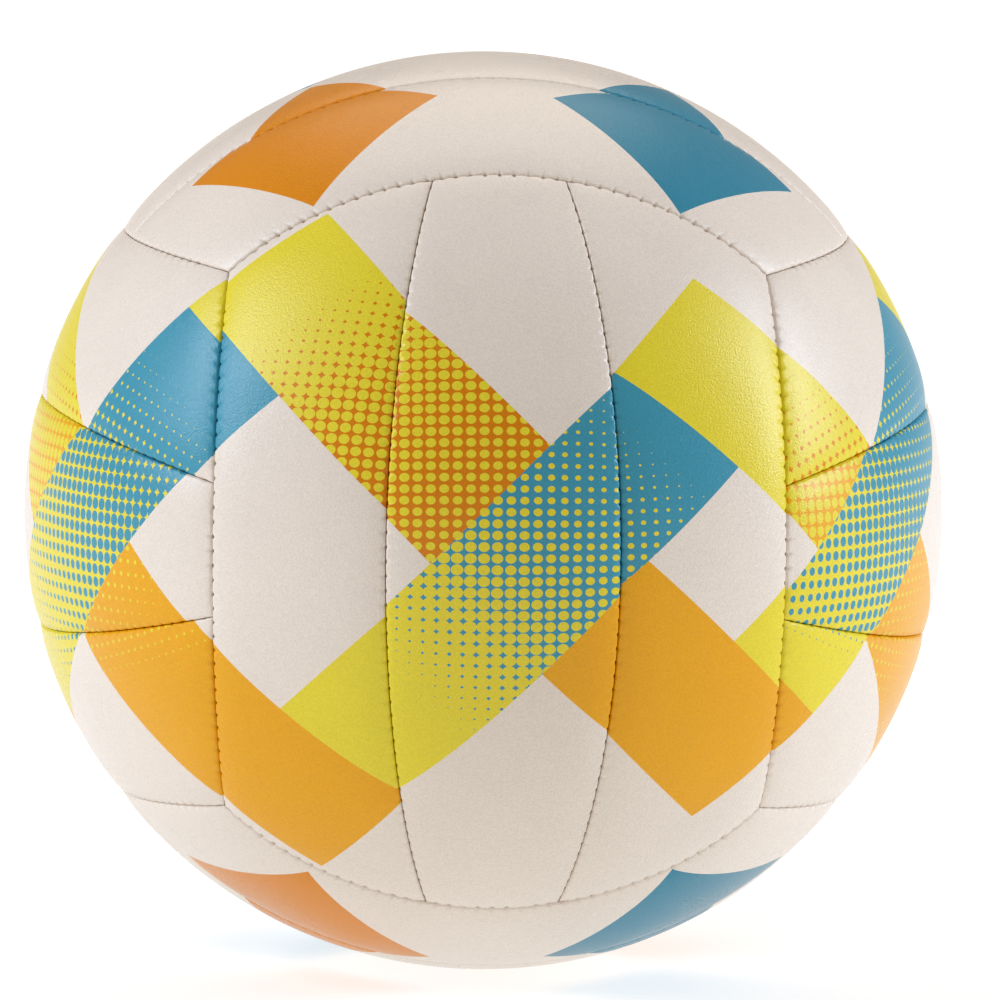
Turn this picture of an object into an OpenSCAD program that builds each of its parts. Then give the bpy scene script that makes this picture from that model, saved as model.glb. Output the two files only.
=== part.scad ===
// Volleyball: eighteen machine-stitched panels with foam and cloth backing,
// laid over a rubber bladder with a needle valve.
// Origin at the ball's centre, +Z up. All lengths in millimetres.
//
// The cover is laid out like a cube: six faces of three parallel strips each,
// and the strips of neighbouring faces run at right angles.

/* [Ball] */
// Outside diameter over the cover
ball_d = 213; // [200:1:225]

/* [Panel layout] */
// Width of a face of three strips across its middle, measured round the ball
face_w = 140.2; // [134:0.2:148]
// Width of a middle strip at its widest, measured round the ball
strip_w = 53.7; // [46:0.1:58]
// Width of a middle strip at its ends, measured round the ball
strip_end_w = 30.3; // [26:0.1:36]

/* [Cover layers] */
// Thickness of the synthetic leather skin
skin_t = 0.6; // [0.4:0.05:0.9]
// Thickness of the foam under the skin
foam_t = 3; // [2:0.1:5]
// Thickness of the cloth lining under the foam
lining_t = 0.4; // [0.3:0.05:0.8]
// Clearance between one layer and the next
layer_gap = 0.05; // [0.03:0.01:0.1]

/* [Seams] */
// Gap between the turned-in edges of two panels
seam_gap = 0.3; // [0.2:0.05:0.5]
// Radius of the shoulder where a panel turns in to its seam
shoulder_r = 2; // [1.5:0.1:3]
// Angle at which the shoulder's arc leaves the panel's outer face
shoulder_angle = 10; // [6:1:20]
// How far from the ball's centre the walls of an edge seam aim
seam_lean = 3; // [2:0.5:6]
// Thickness of the sewing thread
thread_d = 0.5; // [0.3:0.05:0.6]
// Clearance between the thread and the shoulders it lies on
thread_gap = 0.03; // [0.02:0.01:0.1]

/* [Bladder] */
// Wall of the rubber bladder
bladder_t = 0.6; // [0.4:0.05:1]

/* [Valve] */
// Diameter of the valve core's head, seen in the cover
core_head_d = 6; // [5:0.1:7]
// Thickness of the valve core's head
core_head_t = 2.6; // [2:0.1:4]
// How far the head lies below the cover
core_sink = 0.3; // [0:0.1:0.6]
// Diameter of the valve core's stem
core_stem_d = 4.8; // [4:0.1:4.9]
// Diameter of the bulb that locks the core in its housing
core_bulb_d = 7.4; // [6:0.1:9]
// Length of the bulb
core_bulb_l = 3.4; // [2:0.1:5]
// Whole length of the valve core
core_l = 17; // [14:0.5:22]
// Diameter of the passage for an inflating needle
needle_d = 2.1; // [1.8:0.05:2.5]
// Length of that passage below its mouth
needle_l = 9; // [6:0.5:11]
// Diameter of the funnel at the passage's mouth
mouth_d = 3.2; // [2.8:0.1:4]
// Depth of the funnel
mouth_t = 0.6; // [0.3:0.1:1]
// Outside diameter of the valve housing's tube
housing_d = 10.4; // [9:0.1:13]
// Diameter of the housing's flange inside the bladder
flange_d = 32; // [24:1:44]
// Thickness of the housing's flange
flange_t = 1.2; // [0.8:0.1:2]
// Diameter of the cloth patch that stiffens the panel round the valve
patch_d = 40; // [30:1:50]
// Thickness of the cloth patch
patch_t = 0.5; // [0.3:0.05:0.9]
// Clearance round the valve's pieces
valve_gap = 0.1; // [0.05:0.01:0.2]

/* [Hidden] */
$fn = 120;

// Radii of the layers, from the cover inwards
ball_r = ball_d / 2;
foam_r = ball_r - skin_t - layer_gap;
foam_in_r = foam_r - foam_t;
lining_r = foam_in_r - layer_gap;
lining_in_r = lining_r - lining_t;
bladder_r = lining_in_r - layer_gap;
bladder_in_r = bladder_r - bladder_t;

// How far a cutting shape runs past what it cuts
overrun = skin_t;
reach = 2 * ball_r;

// A width round the ball, as the angle that half of it takes up at the centre
function half_angle(w) = w / ball_r * 90 / PI;

// An edge seam is the circle through two cube corners and the middle of a face's
// long side. A strip seam is the circle through the middle and the ends of a
// middle strip's side. Each is [tilt of its axis, angle between axis and seam,
// the point on its axis that the walls of the seam run towards].
corner = 1 / sqrt(3);
face_angle = half_angle(face_w);
strip_angle = half_angle(strip_w);
strip_end_angle = half_angle(strip_end_w);
edge_tilt = atan2(sin(face_angle) - corner, cos(face_angle) - corner);
strip_tilt = atan2(sin(strip_angle) - sin(strip_end_angle),
                   cos(strip_angle) - cos(strip_end_angle) * sin(face_angle));
edge_seam = [edge_tilt, 90 - face_angle + edge_tilt, seam_lean];
strip_seam = [strip_tilt, 90 - strip_angle + strip_tilt, 0];

// Half lengths of the seams, as angles round their own axes
edge_reach = asin(corner / sin(edge_seam[1]));
tee_a = cos(edge_seam[1]) / cos(edge_tilt);
tee_b = tan(edge_tilt);
tee_c = (cos(strip_seam[1]) + tee_a * sin(strip_tilt)) / cos(strip_tilt);
tee_d = tee_b * tan(strip_tilt);
tee_m = 1 + tee_b * tee_b + tee_d * tee_d;
tee_n = tee_a * tee_b + tee_c * tee_d;
tee_k = tee_a * tee_a + tee_c * tee_c - 1;
tee_z = (sqrt(tee_n * tee_n - tee_m * tee_k) - tee_n) / tee_m;
strip_reach = asin(tee_z / sin(strip_seam[1]));

// In the half plane through a seam's axis, x is the distance from the axis and
// y runs along it. The seam is a line there, from its point on the axis out
// through the ball's surface.
function seam_line(seam) =
    let (out = ball_r * [sin(seam[1]), cos(seam[1])] - [0, seam[2]])
    out / norm(out);
function seam_normal(seam) =
    let (line = seam_line(seam))
    [line[1], -line[0]];

// Centre of the arc that rounds a panel's shoulder. The arc crosses both the
// panel's outer face and its turned-in edge at the shoulder angle.
// dir is 1 for the panel further from the seam's axis, and -1 for the nearer.
shoulder_in = shoulder_r * cos(shoulder_angle);
shoulder_dist = sqrt(ball_r * (ball_r - 2 * shoulder_in) + shoulder_r * shoulder_r);
function shoulder_centre(seam, dir) =
    let (line = seam_line(seam),
         aside = [0, seam[2]] + dir * (seam_gap / 2 + shoulder_in) * seam_normal(seam),
         along = aside * line)
    aside + (sqrt(along * along - aside * aside + shoulder_dist * shoulder_dist) - along) * line;

// The thread lies in the valley, where both shoulders come close to it
thread_r = thread_d / 2;
function thread_centre(seam) =
    let (line = seam_line(seam),
         near = max([for (dir = [-1, 1]) (shoulder_centre(seam, dir) - [0, seam[2]]) * line]),
         apart = shoulder_r + thread_r + thread_gap,
         aside = seam_gap / 2 + shoulder_in)
    [0, seam[2]] + (near + sqrt(apart * apart - aside * aside)) * line;
// Room left where threads meet at a corner or at the end of a strip
thread_room = 2 * thread_d;

// Valve levels, as distances from the ball's centre
head_top = ball_r - core_sink;
head_bottom = head_top - core_head_t;
bulb_bottom = head_top - core_l;
bulb_top = bulb_bottom + core_bulb_l;
housing_top = foam_r;
housing_bottom = bulb_top + layer_gap;
flange_top = bladder_in_r - layer_gap;
valve_hole_d = housing_d + 2 * valve_gap;
head_hole_d = core_head_d + 2 * valve_gap;

// Each face is the front one, [spun about Z, then turned about the diagonal]
FRONT = [0, 0];
BACK = [180, 0];
BOTTOM = [0, 120];
TOP = [180, 120];
LEFT = [0, 240];
RIGHT = [180, 240];

module on_face(face) {
    rotate(a = face[1], v = [1, 1, 1])
        rotate([0, 0, face[0]])
            children();
}

// The seams round a strip of the front face. Strip 0 is the middle one, -1 and 1
// are the side ones. Each border is [the turn that takes Z to the seam's axis,
// the seam, dir as above, how far round that axis the seam's cut goes]. An end
// seam cuts only the half of the strip that it ends.
function end_border(end) = [
    end > 0 ? [90 + edge_tilt, 0, 0] : [edge_tilt - 90, 0, 180], edge_seam, -1, 180
];
function side_border(side, seam, dir) = [
    [0, 90, 90 - side * (90 - seam[0])], seam, dir, 360
];
function borders(strip) = concat(
    [end_border(1), end_border(-1)],
    strip == 0
        ? [side_border(1, strip_seam, 1), side_border(-1, strip_seam, 1)]
        : [side_border(strip, strip_seam, -1), side_border(strip, edge_seam, 1)]
);

module on_valve() {
    rotate([-90, 0, 0])
        children();
}

// What a seam takes off a panel beyond the panel's edge, which is set in from
// the seam by half the gap and the inset
module seam_cut(border, inset) {
    seam = border[1];
    dir = border[2];
    line = seam_line(seam);
    tip = [0, seam[2] - dir * (seam_gap / 2 + inset) / line[0]];
    rotate_extrude(angle = border[3])
        polygon([tip, tip + reach * line, [reach * line[0], dir * 2 * reach], [0, dir * 2 * reach]]);
}

// What the rounding takes off a panel's shoulder along a seam
module shoulder_cut(border, inset) {
    seam = border[1];
    dir = border[2];
    line = seam_line(seam);
    centre = shoulder_centre(seam, dir);
    low = centre - dir * (shoulder_r + seam_gap) * seam_normal(seam);
    rotate_extrude(angle = border[3])
        difference() {
            polygon([
                low, centre, centre * (ball_r + overrun) / norm(centre),
                low + (shoulder_r + overrun) * line
            ]);
            translate(centre) circle(r = shoulder_r - inset);
        }
}

module shell(out_r, in_r) {
    difference() {
        sphere(r = out_r);
        sphere(r = in_r);
    }
}

// The front half of a shell, which holds all of the front face
module half_shell(out_r, in_r) {
    difference() {
        shell(out_r, in_r);
        translate([-reach, 0, -reach]) cube([2 * reach, reach, 2 * reach]);
    }
}

// A strip of the front face between two radii, cut seam by seam
module strip_shell(strip, inset, out_r, in_r, seams = 4) {
    border = borders(strip)[seams - 1];
    if (seams == 0)
        half_shell(out_r, in_r);
    else
        difference() {
            strip_shell(strip, inset, out_r, in_r, seams - 1);
            rotate(border[0]) seam_cut(border, inset);
        }
}

// The same strip with rounded shoulders, set in evenly from the panel's outer
// face and edges
module strip_body(strip, inset, in_r, seams = 4) {
    border = borders(strip)[seams - 1];
    if (seams == 0)
        strip_shell(strip, inset, ball_r - inset, in_r);
    else
        difference() {
            strip_body(strip, inset, in_r, seams - 1);
            rotate(border[0]) shoulder_cut(border, inset);
        }
}

module valve_hole(d) {
    on_valve() cylinder(d = d, h = ball_r + overrun);
}

function has_valve(face, strip) = face == BACK && strip == 0;

// Skin of one panel, with its edges turned in at the seams
module cover(face, strip) {
    color("#EFE9E4")
        difference() {
            on_face(face)
                difference() {
                    strip_body(strip, 0, foam_in_r);
                    strip_body(strip, skin_t, foam_in_r - overrun);
                }
            if (has_valve(face, strip))
                valve_hole(head_hole_d);
        }
}

// Foam that fills one panel between its turned-in edges
module foam(face, strip) {
    color("#F3E3A8")
        difference() {
            on_face(face) strip_body(strip, skin_t + layer_gap, foam_in_r);
            if (has_valve(face, strip)) {
                valve_hole(valve_hole_d);
                on_valve()
                    rotate_extrude()
                        dished_disc(
                            patch_d / 2 + valve_gap,
                            foam_in_r + patch_t + layer_gap, foam_in_r - overrun
                        );
            }
        }
}

// Cloth backing of the three panels of a face
module lining(face) {
    color("#D9D5CC")
        for (strip = [-1, 0, 1])
            difference() {
                on_face(face) strip_shell(strip, 0, lining_r, lining_in_r);
                if (has_valve(face, strip))
                    valve_hole(valve_hole_d);
            }
}

// Threads along a seam of the front face and its mirror image, each sunk in the
// valley between two panels
module thread_pair(seam, half_turn) {
    spot = thread_centre(seam);
    short = thread_room / spot[0] * 180 / PI;
    for (flip = [0, 1])
        mirror([flip, 0, 0])
            rotate(side_border(1, seam, 1)[0])
                rotate([0, 0, -90 - half_turn + short])
                    rotate_extrude(angle = 2 * (half_turn - short))
                        translate(spot)
                            circle(r = thread_r, $fn = 24);
}

// Threads of the two long seams between a face and its neighbours
module edge_threads(face) {
    color("#CFCAC2")
        on_face(face) thread_pair(edge_seam, edge_reach);
}

// Threads of the two seams beside a face's middle strip
module strip_threads(face) {
    color("#CFCAC2")
        on_face(face) thread_pair(strip_seam, strip_reach);
}

module bladder() {
    color("#2B2B2E")
        difference() {
            shell(bladder_r, bladder_in_r);
            valve_hole(valve_hole_d);
        }
}

// A dished disc round the valve's axis, as a half profile between two radii
// from the ball's centre
module dished_disc(half_w, out_r, in_r) {
    intersection() {
        difference() {
            circle(r = out_r);
            circle(r = in_r);
        }
        square([half_w, reach]);
    }
}

// Rubber housing: a tube that holds the core, with a flange bonded inside the
// bladder round the hole
module valve_housing() {
    color("#3A3A3D")
        on_valve()
            rotate_extrude()
                difference() {
                    union() {
                        dished_disc(flange_d / 2, flange_top, flange_top - flange_t);
                        translate([0, housing_bottom])
                            square([housing_d / 2, housing_top - housing_bottom]);
                    }
                    translate([0, housing_bottom - overrun])
                        square([core_stem_d / 2 + valve_gap, reach]);
                    translate([0, head_bottom - layer_gap])
                        square([core_head_d / 2 + valve_gap, reach]);
                }
}

// Soft rubber core: a head seen in the cover, a stem, and a bulb that locks it,
// with a blind passage for the needle
module valve_core() {
    color("#C9C4BC")
        on_valve()
            rotate_extrude()
                difference() {
                    polygon([
                        [0, bulb_bottom], [core_stem_d / 2, bulb_bottom],
                        [core_bulb_d / 2, bulb_bottom + core_bulb_l / 2],
                        [core_bulb_d / 2, bulb_top], [core_stem_d / 2, bulb_top],
                        [core_stem_d / 2, head_bottom], [core_head_d / 2, head_bottom],
                        [core_head_d / 2, head_top], [0, head_top]
                    ]);
                    translate([0, head_top - mouth_t - needle_l])
                        square([needle_d / 2, reach]);
                    polygon([
                        [0, head_top - mouth_t], [needle_d / 2, head_top - mouth_t],
                        [mouth_d / 2, head_top], [mouth_d / 2, head_top + overrun],
                        [0, head_top + overrun]
                    ]);
                }
}

// Cloth disc that stiffens the panel round the valve
module valve_patch() {
    color("#BDB8AE")
        on_valve()
            rotate_extrude()
                difference() {
                    dished_disc(patch_d / 2, foam_in_r + patch_t, foam_in_r);
                    square([valve_hole_d / 2, reach]);
                }
}

cover(FRONT, -1);  // cover_front_left
cover(FRONT, 0);  // cover_front_middle
cover(FRONT, 1);  // cover_front_right
cover(BACK, 1);  // cover_back_left
cover(BACK, 0);  // cover_back_middle
cover(BACK, -1);  // cover_back_right
cover(TOP, 1);  // cover_top_front
cover(TOP, 0);  // cover_top_middle
cover(TOP, -1);  // cover_top_back
cover(BOTTOM, -1);  // cover_bottom_front
cover(BOTTOM, 0);  // cover_bottom_middle
cover(BOTTOM, 1);  // cover_bottom_back
cover(LEFT, 1);  // cover_left_upper
cover(LEFT, 0);  // cover_left_middle
cover(LEFT, -1);  // cover_left_lower
cover(RIGHT, -1);  // cover_right_upper
cover(RIGHT, 0);  // cover_right_middle
cover(RIGHT, 1);  // cover_right_lower
foam(FRONT, -1);  // foam_front_left
foam(FRONT, 0);  // foam_front_middle
foam(FRONT, 1);  // foam_front_right
foam(BACK, 1);  // foam_back_left
foam(BACK, 0);  // foam_back_middle
foam(BACK, -1);  // foam_back_right
foam(TOP, 1);  // foam_top_front
foam(TOP, 0);  // foam_top_middle
foam(TOP, -1);  // foam_top_back
foam(BOTTOM, -1);  // foam_bottom_front
foam(BOTTOM, 0);  // foam_bottom_middle
foam(BOTTOM, 1);  // foam_bottom_back
foam(LEFT, 1);  // foam_left_upper
foam(LEFT, 0);  // foam_left_middle
foam(LEFT, -1);  // foam_left_lower
foam(RIGHT, -1);  // foam_right_upper
foam(RIGHT, 0);  // foam_right_middle
foam(RIGHT, 1);  // foam_right_lower
lining(FRONT);  // lining_front
lining(BACK);  // lining_back
lining(TOP);  // lining_top
lining(BOTTOM);  // lining_bottom
lining(LEFT);  // lining_left
lining(RIGHT);  // lining_right
edge_threads(FRONT);  // edge_thread_front
edge_threads(BACK);  // edge_thread_back
edge_threads(TOP);  // edge_thread_top
edge_threads(BOTTOM);  // edge_thread_bottom
edge_threads(LEFT);  // edge_thread_left
edge_threads(RIGHT);  // edge_thread_right
strip_threads(FRONT);  // strip_thread_front
strip_threads(BACK);  // strip_thread_back
strip_threads(TOP);  // strip_thread_top
strip_threads(BOTTOM);  // strip_thread_bottom
strip_threads(LEFT);  // strip_thread_left
strip_threads(RIGHT);  // strip_thread_right
bladder();
valve_housing();
valve_core();
valve_patch();
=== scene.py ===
# %% [markdown]
# # A stitched volleyball
#
# A full-size ball with eighteen panels of soft synthetic leather, sewn by machine
# over foam, cloth and a rubber bladder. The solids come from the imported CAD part.
# This lesson dresses them: it pillows and prints the panels, sews them, and lights
# the ball as in a small product studio.

# %% Setup
import math

import bpy
import numpy as np
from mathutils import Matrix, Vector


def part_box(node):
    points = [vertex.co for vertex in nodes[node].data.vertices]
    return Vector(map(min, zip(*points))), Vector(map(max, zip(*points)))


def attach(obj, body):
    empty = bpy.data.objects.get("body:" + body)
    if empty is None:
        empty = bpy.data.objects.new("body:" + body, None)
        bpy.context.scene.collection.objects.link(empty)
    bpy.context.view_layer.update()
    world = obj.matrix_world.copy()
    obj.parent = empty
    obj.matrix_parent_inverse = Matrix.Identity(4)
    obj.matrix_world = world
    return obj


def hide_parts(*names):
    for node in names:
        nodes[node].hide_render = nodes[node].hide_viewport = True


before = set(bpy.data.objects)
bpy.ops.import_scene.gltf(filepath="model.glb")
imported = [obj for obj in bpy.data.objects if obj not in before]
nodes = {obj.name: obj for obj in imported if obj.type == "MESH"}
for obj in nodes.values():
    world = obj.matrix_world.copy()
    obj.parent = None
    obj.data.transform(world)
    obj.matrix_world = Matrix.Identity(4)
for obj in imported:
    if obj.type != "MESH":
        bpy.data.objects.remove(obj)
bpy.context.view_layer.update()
print(len(nodes), "CAD nodes")

# %% [markdown]
# Blender counts in metres, while a ball maker counts in millimetres. One constant
# turns one into the other, and the ball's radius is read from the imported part, so
# that the dressed panels fit over the solids.

# %% Sizes
MM = 0.001
BALL_R = -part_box("cover_front_middle")[0][1] / MM
print("ball radius", round(BALL_R, 2), "mm")

# %% [markdown]
# ## The panels' names
#
# Each of the six faces has three strips. A strip is known by its face and by -1, 0
# or 1, which is its side of the middle strip, and has a word for its side that
# tells it apart in the list of pieces.

# %% Strips
STRIPS = {
    "front": {-1: "left", 0: "middle", 1: "right"},
    "back": {-1: "right", 0: "middle", 1: "left"},
    "left": {-1: "lower", 0: "middle", 1: "upper"},
    "right": {-1: "lower", 0: "middle", 1: "upper"},
    "top": {-1: "back", 0: "middle", 1: "front"},
    "bottom": {-1: "back", 0: "middle", 1: "front"},
}
print(sum(map(len, STRIPS.values())), "panels")

# %% [markdown]
# ## Helpers
#
# A colour is given as an sRGB hex value, but shaders work in linear light, so
# one function turns the first into the second. Shader trees get long, so another
# adds a node, sets its values and joins its inputs in one call. A Mix node's inputs
# share their names, so they are called by number: 2 and 3 are its two numbers, and
# 6 and 7 its two colours. Every object goes into the scene the same way, so that
# gets a function too.

# %% Helpers
def colour(hex_code):
    """An sRGB hex colour as linear RGBA."""
    parts = [int(hex_code[i:i + 2], 16) / 255 for i in (1, 3, 5)]
    return [p / 12.92 if p < 0.04045 else ((p + 0.055) / 1.055) ** 2.4 for p in parts] + [1]


def fill(tree, node, inputs):
    """Gives a node's inputs their numbers, colours, or other nodes' outputs."""
    for key, value in inputs.items():
        socket = node.inputs[key]
        if isinstance(value, bpy.types.NodeSocket):
            tree.links.new(value, socket)
        else:
            socket.default_value = value


def add(tree, kind, inputs=None, **settings):
    """Adds a node with its settings and inputs."""
    node = tree.nodes.new(kind)
    for key, value in settings.items():
        setattr(node, key, value)
    fill(tree, node, inputs or {})
    return node


def new_material(name):
    """An empty node material, its shader and its tree."""
    material = bpy.data.materials.new(name)
    material.use_nodes = True
    tree = material.node_tree
    shader = tree.nodes["Principled BSDF"]
    return material, tree, shader


def new_object(name, data):
    """An object in the scene that carries a mesh, lamp or camera."""
    thing = bpy.data.objects.new(name, data)
    bpy.context.scene.collection.objects.link(thing)
    return thing


print("mid grey in linear light:", round(colour("#808080")[0], 3))

# %% [markdown]
# ## The print's inks
#
# The cover is a warm white synthetic leather. Its print has three flat inks, with
# a deeper blue and orange on the top and bottom faces and a deeper orange under
# some halftones. Where two inks meet inside a stripe they mix by halftone: rows of
# round dots that grow until they touch and then close up, leaving small
# four-pointed stars.

# %% Inks
WHITE = "#F1E6DA"
YELLOW = "#EEDD36"
ORANGE = "#F2AD02"
DEEP_ORANGE = "#E58D02"
RUST = "#DE8404"
BLUE = "#419AB4"
DEEP_BLUE = "#358BA6"
DOT_PITCH = (3.0, 2.6)
print("dots every", DOT_PITCH, "mm across and down a strip")

# %% [markdown]
# ## Where the stripes run
#
# Each panel is a long strip, and the print is set out flat on it. So the stripes
# are written in the strip's own millimetres: u runs across it and v along it, from
# its middle. A patch of ink is the overlap of a few half planes. Four small
# functions name them: the ink lies below or above a sloping line, or to the right
# or left of a steep one.
#
# Each half plane is kept as (x, y, limit), and a point is inside where
# x * u + y * v is less than the limit.

# %% Half planes
def below(slope, offset):
    """v is less than slope * u + offset."""
    return (-slope, 1, offset)


def above(slope, offset):
    """v is more than slope * u + offset."""
    return (slope, -1, -offset)


def right_of(slope, offset):
    """u is more than slope * v + offset."""
    return (-1, slope, -offset)


def left_of(slope, offset):
    """u is less than slope * v + offset."""
    return (1, -slope, offset)


def patch(ground, edges, dots=None, along=(0, 0), stops=()):
    """A patch of ink, with dots of a second ink whose radius, as a share of their
    pitch, follows stops of (place along the stripe, radius)."""
    return {"ground": ground, "edges": edges, "dots": dots, "along": along, "stops": stops}


print("below the rising diagonal:", below(1, 0))

# %% [markdown]
# The front face has two stripes that cross in its middle strip, and the ends of
# more stripes beside them. In the middle strip they run at 45 degrees, and in the
# side strips a little flatter, because the print is set out on flat panels. A patch
# that comes later in a list lies over those before it.

# %% Print of the front face
TILT = 0.854
FRONT_PRINT = {
    -1: [
        patch(BLUE, [below(TILT, 88.5), above(TILT, 42), below(-TILT, 40)]),
        patch(YELLOW, [below(TILT, -31), above(TILT, -77), above(-TILT, -60)]),
        patch(RUST, [above(-TILT, 30.6), below(-TILT, 77.7), below(TILT, 88.5)],
              YELLOW, (TILT, -1), [(-66, 0.72), (-54, 0.61), (-40, 0.52), (-25, 0.45), (5, 0.38)]),
        patch(ORANGE, [above(-TILT, -87.4), below(-TILT, -40.6), above(TILT, -77)]),
    ],
    0: [
        patch(ORANGE, [above(-1, -16.5), below(-1, 37), below(1, -5)]),
        patch(RUST, [above(-1, -16.5), below(-1, 37), above(1, -5)],
              YELLOW, (1, -1), [(-90, 0.6), (-78, 0.52), (-63, 0.45), (-35, 0.38), (0, 0.32)]),
        patch(BLUE, [below(1, 16.5), above(1, -34.3)],
              YELLOW, (1, 1), [(-56, 0.72), (-25, 0.53), (15, 0.36), (62, 0.06)]),
    ],
    1: [
        patch(YELLOW, [below(TILT, -25.5), above(TILT, -71), above(-TILT, -30)]),
        patch(ORANGE, [above(-TILT, -59), below(-TILT, -12.8), above(TILT, -71)]),
        patch(BLUE, [below(TILT, 60.6), above(TILT, 13.5), below(-TILT, 30)],
              YELLOW, (TILT, 1), [(-30, 0.34), (-19, 0.29), (0, 0.17), (18, 0.0)]),
        patch(YELLOW, [above(-TILT, 27.5), below(-TILT, 70.5), below(TILT, 60.6)]),
    ],
}
print({strip: len(patches) for strip, patches in FRONT_PRINT.items()}, "patches")

# %% [markdown]
# On the left and right faces the stripes cross nearer to the front. Past the
# crossing they turn steeper in the upper and lower strips.

# %% Print of the left and right faces
LEFT_PRINT = {
    -1: [
        patch(ORANGE, [above(0.5, -99), below(0.5, -57.7)],
              YELLOW, (1, 0), [(2, 0.0), (20, 0.19)]),
        patch(YELLOW, [above(-1.6, -14), below(-1.6, 34.5), below(1.557, 10)],
              BLUE, (0.6, -1), [(25, 0.0), (47, 0.2), (60, 0.29)]),
    ],
    0: [
        patch(ORANGE, [below(1, -20.3), above(1, -72.2)],
              YELLOW, (1, 1), [(-105, 0.0), (-72, 0.2), (-30, 0.42), (5, 0.5), (40, 0.62)]),
        patch(YELLOW, [above(-1, -72), below(-1, -22.5)],
              BLUE, (1, -1), [(-12, 0.0), (15, 0.22), (53, 0.43), (77, 0.48), (125, 0.6)]),
    ],
    1: [
        patch(DEEP_ORANGE, [below(1.4, 14), above(1.4, -19), below(-1.41, 37.65)],
              YELLOW, (1, 1), [(-85, 0.46), (-50, 0.56), (-25, 0.65), (-5, 0.72)]),
        patch(YELLOW, [above(-0.447, -97.7), below(-0.447, -57.9)],
              BLUE, (1, -0.35), [(-4, 0.5), (10, 0.56), (20, 0.63), (30, 0.72)]),
        patch(YELLOW, [below(-0.447, -57.9), right_of(0.216, 31)]),
    ],
}
RIGHT_PRINT = {
    -1: [
        patch(ORANGE, [above(-1.557, -37.9), below(-1.557, 14.1), below(1.6, 14)],
              YELLOW, (0.6, -1), [(34, 0.0), (57, 0.15), (75, 0.22)]),
        patch(YELLOW, [below(0.47, -73)],
              BLUE, (1, 0), [(8, 0.0), (20, 0.15)]),
        patch(ORANGE, [below(0.47, -73), left_of(-0.3, -24.9)]),
    ],
    0: [
        patch(ORANGE, [above(-1, -87.5), below(-1, -42)],
              YELLOW, (1, -1), [(10, 0.0), (36, 0.18), (88, 0.4), (105, 0.48), (118, 0.56)]),
        patch(YELLOW, [below(1, -42), above(1, -88.5)],
              BLUE, (1, 1), [(-110, 0.26), (-75, 0.4), (-50, 0.47), (-10, 0.57), (25, 0.68)]),
    ],
    1: [
        patch(YELLOW, [below(1.41, 11.2), above(1.41, -37.65), below(-1.27, -8)],
              BLUE, (1, 1), [(-95, 0.46), (-75, 0.51), (-55, 0.58), (-25, 0.69)]),
        patch(DEEP_ORANGE, [below(-0.51, -73.6)],
              YELLOW, (1, 0), [(-32, 0.43), (-20, 0.48), (-8, 0.57), (12, 0.72)]),
    ],
}
print(sum(map(len, LEFT_PRINT.values())), "and", sum(map(len, RIGHT_PRINT.values())), "patches")

# %% [markdown]
# The top and bottom faces carry one blue and one orange kite across each inner
# seam. The kite's blunt half lies in the side strip, and its point in the middle
# strip.

# %% Print of the top and bottom faces
CAP_PRINT = {
    1: [
        patch(DEEP_BLUE, [below(-0.935, 65.85), above(0.883, 22.4), below(1.44, 90.1),
                          above(-1.43, -1.2)]),
        patch(DEEP_ORANGE, [below(-0.94, -23.4), above(0.937, -64.8), below(1.44, 2.7),
                            above(-1.44, -91.1)]),
    ],
    0: [
        patch(DEEP_BLUE, [below(0.72, 41.8), above(-0.7, 43.6)]),
        patch(DEEP_ORANGE, [below(0.7, -43.6), above(-0.9, -40)]),
    ],
}
print(sum(map(len, CAP_PRINT.values())), "patches")

# %% [markdown]
# The far half of the ball repeats the near half, turned half way round the upright
# axis. For a patch on a face that holds both halves, that turn flips v, and on the
# top and bottom faces it flips u as well. Where stripes of both halves meet on the
# side faces, those of the left face lie underneath in the lower strip and on top in
# the upper one.

# %% The far half of the print
def turned(patches, flip_u):
    """The same patches for the far half of the ball."""
    sign = -1 if flip_u else 1
    return [
        patch(p["ground"], [(sign * x, -y, limit) for x, y, limit in p["edges"]],
              p["dots"], (sign * p["along"][0], -p["along"][1]), p["stops"])
        for p in patches
    ]


PRINTS = {}
for strip in (-1, 0, 1):
    PRINTS["front", strip] = PRINTS["back", strip] = FRONT_PRINT[strip]
    pair = [LEFT_PRINT[strip], turned(RIGHT_PRINT[strip], False)][::-1 if strip == 1 else 1]
    PRINTS["left", strip] = pair[0] + pair[1]
    PRINTS["right", strip] = turned(PRINTS["left", strip], False)
for face in ("top", "bottom"):
    PRINTS[face, 1] = CAP_PRINT[1]
    PRINTS[face, -1] = turned(CAP_PRINT[1], True)
    PRINTS[face, 0] = CAP_PRINT[0] + turned(CAP_PRINT[0], True)
print(len(PRINTS), "panels with a print,", sum(map(len, PRINTS.values())), "patches")

# %% [markdown]
# ## Printed synthetic leather
#
# The skin is polyurethane on cloth, embossed with a fine grain and printed before
# it is cut. It has a soft satin gloss that breaks up on the grain, so the material
# needs three things: the print in the strip's millimetres, a grain of fine creases
# that bends the light, and a roughness that wanders a little.
#
# The halftone is the same for every patch, so it is a node group with its dot
# radius as an input.

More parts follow.
